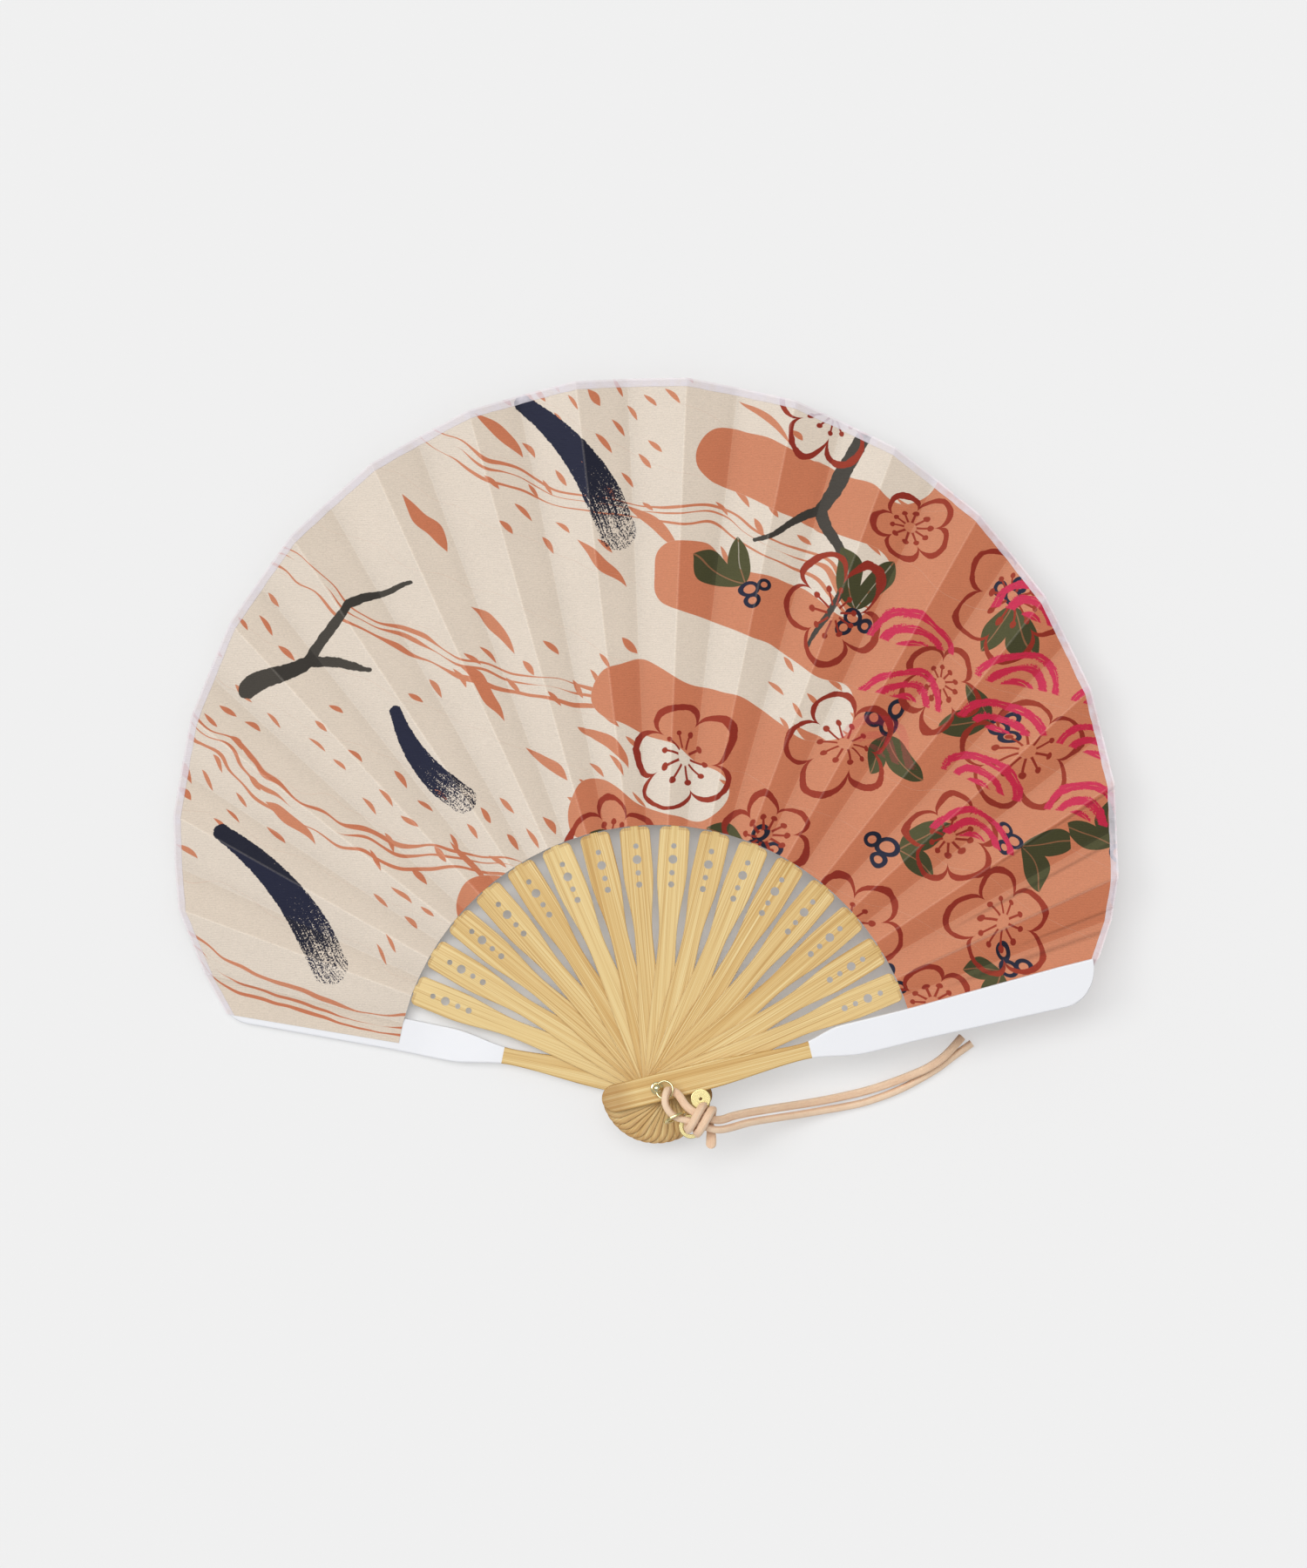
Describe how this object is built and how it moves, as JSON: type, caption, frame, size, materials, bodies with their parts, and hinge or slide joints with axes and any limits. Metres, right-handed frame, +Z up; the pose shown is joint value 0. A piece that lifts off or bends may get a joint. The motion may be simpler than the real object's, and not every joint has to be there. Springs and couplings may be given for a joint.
{
  "type": "folding fan",
  "caption": "Open shell-shaped folding fan: pleated fabric leaf on drilled bamboo ribs, white-capped guards, ball pin and a leather lace with gold charms.",
  "frame": {"origin": "on the pin's axis, on the surface that the fan lies on", "axes": "+Z up along the pin, +X towards the front guard's side and +Y out along the leaf's middle, as the open fan lies"},
  "size_m": [0.2822, 0.2301, 0.0254],
  "materials": {
    "bamboo": "pale golden bamboo, satin, fine lengthwise grain",
    "leaf_cloth": "matt printed polyester, cream and salmon",
    "guard_lacquer": "bamboo with white gloss lacquer over its outer two thirds",
    "brass": "polished pale brass",
    "gold_plate": "satin pale gold",
    "leather": "natural pink-beige leather, matt"
  },
  "bodies": {
    "rear_guard": {"guard_rear": "guard_lacquer", "pivot_pin": "brass", "jump_ring": "brass", "leaf_end_rear": "leaf_cloth", "charm_ring_standing": "gold_plate", "charm_ring_lying": "gold_plate", "charm_disc": "gold_plate", "lace_loop": "leather", "lace_upper": "leather", "lace_knot": "leather"},
    "rib_01": {"rib_01": "bamboo", "leaf_glued_01": "leaf_cloth", "leaf_fold_01": "leaf_cloth"},
    "rib_02": {"rib_02": "bamboo", "leaf_glued_02": "leaf_cloth", "leaf_fold_02": "leaf_cloth"},
    "rib_03": {"rib_03": "bamboo", "leaf_glued_03": "leaf_cloth", "leaf_fold_03": "leaf_cloth"},
    "rib_04": {"rib_04": "bamboo", "leaf_glued_04": "leaf_cloth", "leaf_fold_04": "leaf_cloth"},
    "rib_05": {"rib_05": "bamboo", "leaf_glued_05": "leaf_cloth", "leaf_fold_05": "leaf_cloth"},
    "rib_06": {"rib_06": "bamboo", "leaf_glued_06": "leaf_cloth", "leaf_fold_06": "leaf_cloth"},
    "rib_07": {"rib_07": "bamboo", "leaf_glued_07": "leaf_cloth", "leaf_fold_07": "leaf_cloth"},
    "rib_08": {"rib_08": "bamboo", "leaf_glued_08": "leaf_cloth", "leaf_fold_08": "leaf_cloth"},
    "rib_09": {"rib_09": "bamboo", "leaf_glued_09": "leaf_cloth", "leaf_fold_09": "leaf_cloth"},
    "rib_10": {"rib_10": "bamboo", "leaf_glued_10": "leaf_cloth", "leaf_fold_10": "leaf_cloth"},
    "rib_11": {"rib_11": "bamboo", "leaf_glued_11": "leaf_cloth", "leaf_fold_11": "leaf_cloth"},
    "rib_12": {"rib_12": "bamboo", "leaf_glued_12": "leaf_cloth", "leaf_fold_12": "leaf_cloth"},
    "rib_13": {"rib_13": "bamboo", "leaf_glued_13": "leaf_cloth", "leaf_fold_13": "leaf_cloth"},
    "rib_14": {"rib_14": "bamboo", "leaf_glued_14": "leaf_cloth", "leaf_fold_14": "leaf_cloth"},
    "rib_15": {"rib_15": "bamboo", "leaf_glued_15": "leaf_cloth", "leaf_fold_15": "leaf_cloth"},
    "rib_16": {"rib_16": "bamboo", "leaf_glued_16": "leaf_cloth"},
    "front_guard": {"guard_front": "guard_lacquer", "leaf_end_front": "leaf_cloth"}
  },
  "joints": [
    {"name": "front_guard", "type": "hinge", "parent": "rear_guard", "child": "front_guard", "pos_m": [0, 0, 0], "axis": [0, 0, 1], "range_deg": [0, 154.5], "deforming": ["leaf_fold_01", "leaf_fold_02", "leaf_fold_03", "leaf_fold_04", "leaf_fold_05", "leaf_fold_06", "leaf_fold_07", "leaf_fold_08", "leaf_fold_09", "leaf_fold_10", "leaf_fold_11", "leaf_fold_12", "leaf_fold_13", "leaf_fold_14", "leaf_fold_15", "leaf_end_rear", "leaf_end_front"]},
    {"name": "rib_01", "type": "hinge", "parent": "rear_guard", "child": "rib_01", "pos_m": [0, 0, 0], "axis": [0, 0, 1], "range_deg": [0, 10.51]},
    {"name": "rib_02", "type": "hinge", "parent": "rear_guard", "child": "rib_02", "pos_m": [0, 0, 0], "axis": [0, 0, 1], "range_deg": [0, 19.51]},
    {"name": "rib_03", "type": "hinge", "parent": "rear_guard", "child": "rib_03", "pos_m": [0, 0, 0], "axis": [0, 0, 1], "range_deg": [0, 28.51]},
    {"name": "rib_04", "type": "hinge", "parent": "rear_guard", "child": "rib_04", "pos_m": [0, 0, 0], "axis": [0, 0, 1], "range_deg": [0, 37.51]},
    {"name": "rib_05", "type": "hinge", "parent": "rear_guard", "child": "rib_05", "pos_m": [0, 0, 0], "axis": [0, 0, 1], "range_deg": [0, 46.51]},
    {"name": "rib_06", "type": "hinge", "parent": "rear_guard", "child": "rib_06", "pos_m": [0, 0, 0], "axis": [0, 0, 1], "range_deg": [0, 55.51]},
    {"name": "rib_07", "type": "hinge", "parent": "rear_guard", "child": "rib_07", "pos_m": [0, 0, 0], "axis": [0, 0, 1], "range_deg": [0, 64.51]},
    {"name": "rib_08", "type": "hinge", "parent": "rear_guard", "child": "rib_08", "pos_m": [0, 0, 0], "axis": [0, 0, 1], "range_deg": [0, 73.51]},
    {"name": "rib_09", "type": "hinge", "parent": "rear_guard", "child": "rib_09", "pos_m": [0, 0, 0], "axis": [0, 0, 1], "range_deg": [0, 82.51]},
    {"name": "rib_10", "type": "hinge", "parent": "rear_guard", "child": "rib_10", "pos_m": [0, 0, 0], "axis": [0, 0, 1], "range_deg": [0, 91.51]},
    {"name": "rib_11", "type": "hinge", "parent": "rear_guard", "child": "rib_11", "pos_m": [0, 0, 0], "axis": [0, 0, 1], "range_deg": [0, 100.51]},
    {"name": "rib_12", "type": "hinge", "parent": "rear_guard", "child": "rib_12", "pos_m": [0, 0, 0], "axis": [0, 0, 1], "range_deg": [0, 109.51]},
    {"name": "rib_13", "type": "hinge", "parent": "rear_guard", "child": "rib_13", "pos_m": [0, 0, 0], "axis": [0, 0, 1], "range_deg": [0, 118.51]},
    {"name": "rib_14", "type": "hinge", "parent": "rear_guard", "child": "rib_14", "pos_m": [0, 0, 0], "axis": [0, 0, 1], "range_deg": [0, 127.51]},
    {"name": "rib_15", "type": "hinge", "parent": "rear_guard", "child": "rib_15", "pos_m": [0, 0, 0], "axis": [0, 0, 1], "range_deg": [0, 136.51]},
    {"name": "rib_16", "type": "hinge", "parent": "rear_guard", "child": "rib_16", "pos_m": [0, 0, 0], "axis": [0, 0, 1], "range_deg": [0, 145.51]}
  ],
  "couplings": [
    {"joint": "rib_01", "follows": "front_guard", "ratio": 0.067961},
    {"joint": "rib_02", "follows": "front_guard", "ratio": 0.12621},
    {"joint": "rib_03", "follows": "front_guard", "ratio": 0.18447},
    {"joint": "rib_04", "follows": "front_guard", "ratio": 0.24272},
    {"joint": "rib_05", "follows": "front_guard", "ratio": 0.30097},
    {"joint": "rib_06", "follows": "front_guard", "ratio": 0.35922},
    {"joint": "rib_07", "follows": "front_guard", "ratio": 0.41748},
    {"joint": "rib_08", "follows": "front_guard", "ratio": 0.47573},
    {"joint": "rib_09", "follows": "front_guard", "ratio": 0.53398},
    {"joint": "rib_10", "follows": "front_guard", "ratio": 0.59223},
    {"joint": "rib_11", "follows": "front_guard", "ratio": 0.65048},
    {"joint": "rib_12", "follows": "front_guard", "ratio": 0.70874},
    {"joint": "rib_13", "follows": "front_guard", "ratio": 0.76699},
    {"joint": "rib_14", "follows": "front_guard", "ratio": 0.82524},
    {"joint": "rib_15", "follows": "front_guard", "ratio": 0.8835},
    {"joint": "rib_16", "follows": "front_guard", "ratio": 0.94175}
  ]
}
